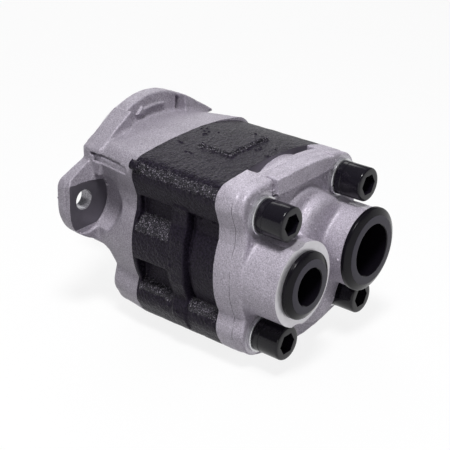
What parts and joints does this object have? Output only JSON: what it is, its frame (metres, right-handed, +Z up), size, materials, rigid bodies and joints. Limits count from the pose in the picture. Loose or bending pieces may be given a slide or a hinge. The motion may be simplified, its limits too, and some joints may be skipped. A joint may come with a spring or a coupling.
{
  "type": "hydraulic gear pump",
  "caption": "External gear pump with a two-bolt mounting flange and pilot, keyed drive shaft and rear suction and pressure ports closed by push-in plugs.",
  "frame": {"origin": "centre of the pilot on the mounting face", "axes": "+Y along the drive shaft, out of the mounting face; +Z up, the driven gear lies below the drive gear; -Y is the side of the ports; +X is to the right seen from the ports"},
  "size_m": [0.1288, 0.1741, 0.1132],
  "materials": {
    "cast_aluminium": "bead-blasted casting",
    "black_casting": "rough black paint",
    "ground_steel": "ground",
    "key_steel": "drawn",
    "block_alloy": "machined",
    "bush_bronze": "bored",
    "seal_rubber": "matte",
    "spring_steel": "drawn",
    "black_steel": "black oxide",
    "backup_plastic": "matte",
    "zinc_plate": "bright zinc plate",
    "plug_plastic": "semi-gloss"
  },
  "bodies": {
    "casing": {"front_cover": "cast_aluminium", "gear_housing": "black_casting", "rear_cover": "cast_aluminium", "front_bearing_block": "block_alloy", "rear_bearing_block": "block_alloy", "front_drive_bush": "bush_bronze", "front_driven_bush": "bush_bronze", "rear_drive_bush": "bush_bronze", "rear_driven_bush": "bush_bronze", "shaft_seal": "seal_rubber", "seal_spring": "spring_steel", "seal_retaining_ring": "black_steel", "front_cover_seal": "seal_rubber", "rear_cover_seal": "seal_rubber", "front_balance_seal": "seal_rubber", "rear_balance_seal": "seal_rubber", "front_backup_strip": "backup_plastic", "rear_backup_strip": "backup_plastic", "front_dowels": "ground_steel", "rear_dowels": "ground_steel", "cap_screws": "black_steel", "spring_washers": "black_steel", "plain_washers": "zinc_plate"},
    "drive_shaft": {"drive_gear_shaft": "ground_steel", "shaft_key": "key_steel"},
    "driven_shaft": {"driven_gear_shaft": "ground_steel"},
    "suction_plug_body": {"suction_plug": "plug_plastic"},
    "pressure_plug_body": {"pressure_plug": "plug_plastic"}
  },
  "joints": [
    {"name": "drive_spin", "type": "hinge", "parent": "casing", "child": "drive_shaft", "pos_m": [0, 0, 0], "axis": [0, 1, 0], "continuous": true},
    {"name": "driven_spin", "type": "hinge", "parent": "casing", "child": "driven_shaft", "pos_m": [0, 0, -0.035], "axis": [0, 1, 0], "continuous": true},
    {"name": "suction_plug_pull", "type": "slide", "parent": "casing", "child": "suction_plug_body", "axis": [0, -1, 0], "range_m": [0, 0.02]},
    {"name": "pressure_plug_pull", "type": "slide", "parent": "casing", "child": "pressure_plug_body", "axis": [0, -1, 0], "range_m": [0, 0.02]}
  ],
  "couplings": [
    {"joint": "driven_spin", "follows": "drive_spin", "ratio": -1}
  ]
}
